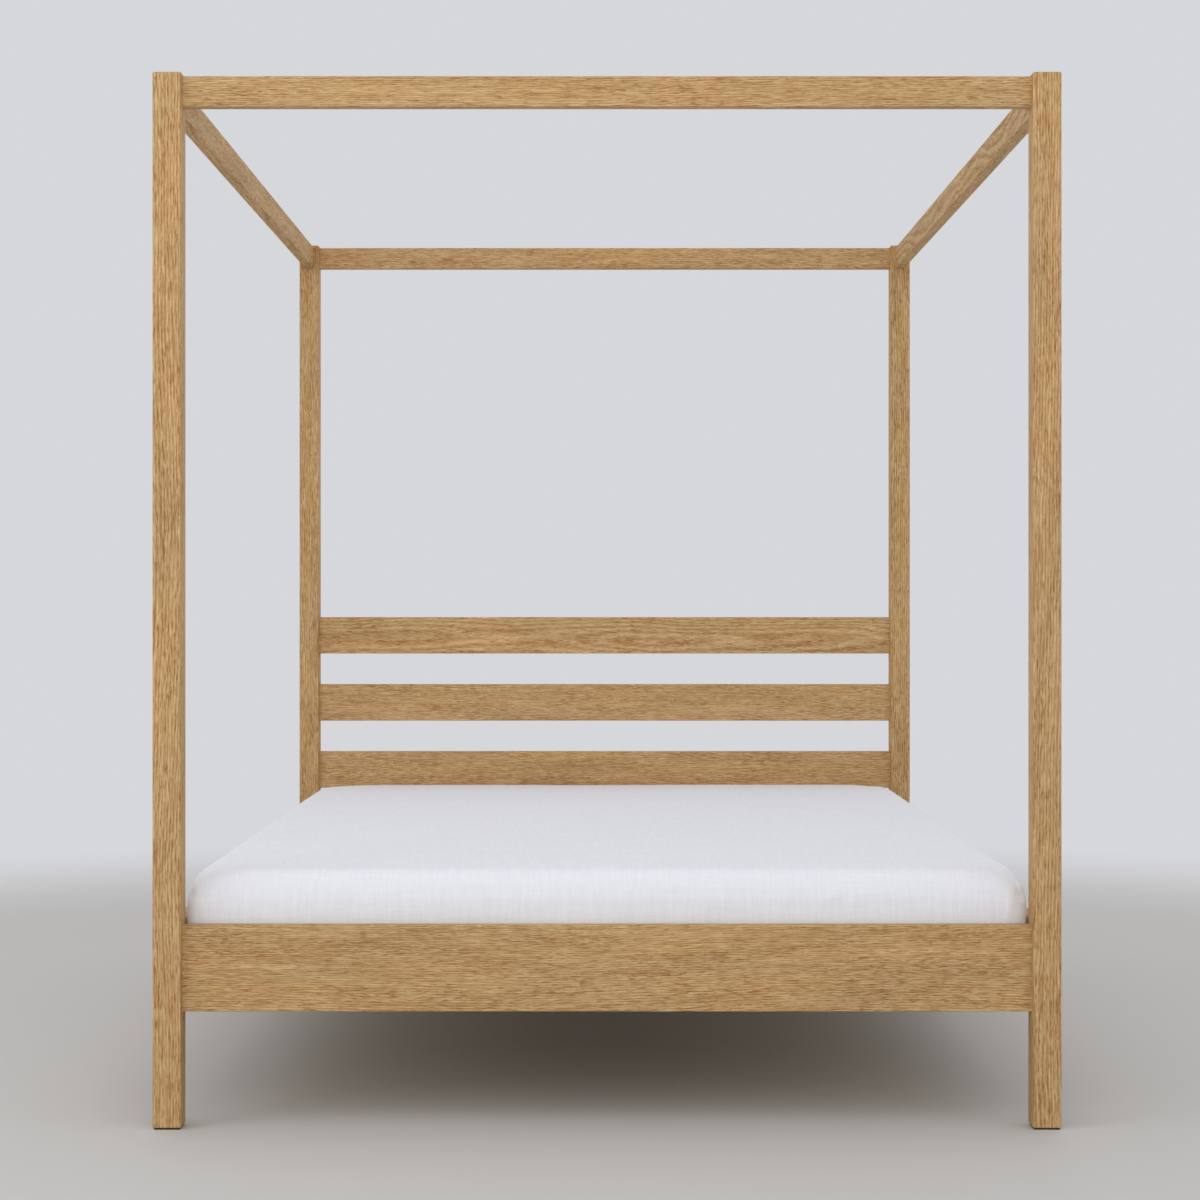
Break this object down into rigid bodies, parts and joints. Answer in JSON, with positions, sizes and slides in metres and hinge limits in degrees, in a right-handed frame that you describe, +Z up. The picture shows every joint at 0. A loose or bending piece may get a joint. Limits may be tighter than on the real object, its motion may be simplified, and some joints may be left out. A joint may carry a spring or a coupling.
{
  "type": "four poster canopy bed",
  "caption": "Oak four poster bed: square posts joined by an open canopy frame, slatted headboard, low footboard and side rails, slatted base and a mattress in a fitted sheet.",
  "frame": {"origin": "centre of the bed's footprint on the floor, at the undersides of the foot pads", "axes": "+Z up, +Y from the foot end to the headboard, +X to the right as seen from the foot end"},
  "size_m": [1.626, 2.116, 1.892],
  "materials": {
    "oak": "clear matte oil over fine straight grain with dark pores",
    "slat_wood": "planed, unfinished",
    "dowel_wood": "fluted beech, unfinished",
    "felt": "black pressed felt",
    "webbing": "woven webbing",
    "black_steel": "matte black powder coat",
    "brass_insert": "plain machined",
    "zinc_steel": "zinc plated",
    "sheet_cotton": "white slub weave cotton",
    "ticking": "knitted ticking",
    "foam": "open cell foam",
    "pocket_fabric": "spun-bonded white pocket fabric"
  },
  "bodies": {
    "frame": {"post_front_left": "oak", "post_front_right": "oak", "post_rear_left": "oak", "post_rear_right": "oak", "foot_pad_front_left": "felt", "foot_pad_front_right": "felt", "foot_pad_rear_left": "felt", "foot_pad_rear_right": "felt", "canopy_rail_front": "oak", "canopy_rail_rear": "oak", "canopy_rail_left": "oak", "canopy_rail_right": "oak", "footboard": "oak", "head_rail": "oak", "side_rail_left": "oak", "side_rail_right": "oak", "headboard_slat_top": "oak", "headboard_slat_middle": "oak", "headboard_slat_bottom": "oak", "cleat_left": "slat_wood", "cleat_right": "slat_wood", "bed_slat_01": "slat_wood", "bed_slat_02": "slat_wood", "bed_slat_03": "slat_wood", "bed_slat_04": "slat_wood", "bed_slat_05": "slat_wood", "bed_slat_06": "slat_wood", "bed_slat_07": "slat_wood", "bed_slat_08": "slat_wood", "bed_slat_09": "slat_wood", "bed_slat_10": "slat_wood", "bed_slat_11": "slat_wood", "bed_slat_12": "slat_wood", "bed_slat_13": "slat_wood", "bed_slat_14": "slat_wood", "bed_slat_15": "slat_wood", "slat_strap_left": "webbing", "slat_strap_right": "webbing", "centre_beam": "black_steel", "beam_bracket_front": "black_steel", "beam_bracket_rear": "black_steel", "rail_inserts": "brass_insert", "rail_studs": "zinc_steel", "half_moon_washers": "zinc_steel", "rail_nuts": "zinc_steel", "canopy_cam_bolts": "zinc_steel", "canopy_cams": "zinc_steel", "slat_screws": "zinc_steel", "cleat_screws": "zinc_steel", "bracket_screws": "zinc_steel", "rail_dowels": "dowel_wood", "canopy_dowels": "dowel_wood"},
    "mattress": {"fitted_sheet": "sheet_cotton", "mattress_cover": "ticking", "mattress_base_panel": "ticking", "comfort_foam": "foam", "edge_foam": "foam", "base_foam": "foam", "spring_pockets": "pocket_fabric"}
  },
  "joints": [
    {"name": "mattress_lift", "type": "slide", "parent": "frame", "child": "mattress", "axis": [0, 0, 1], "range_m": [0, 1.66]}
  ]
}
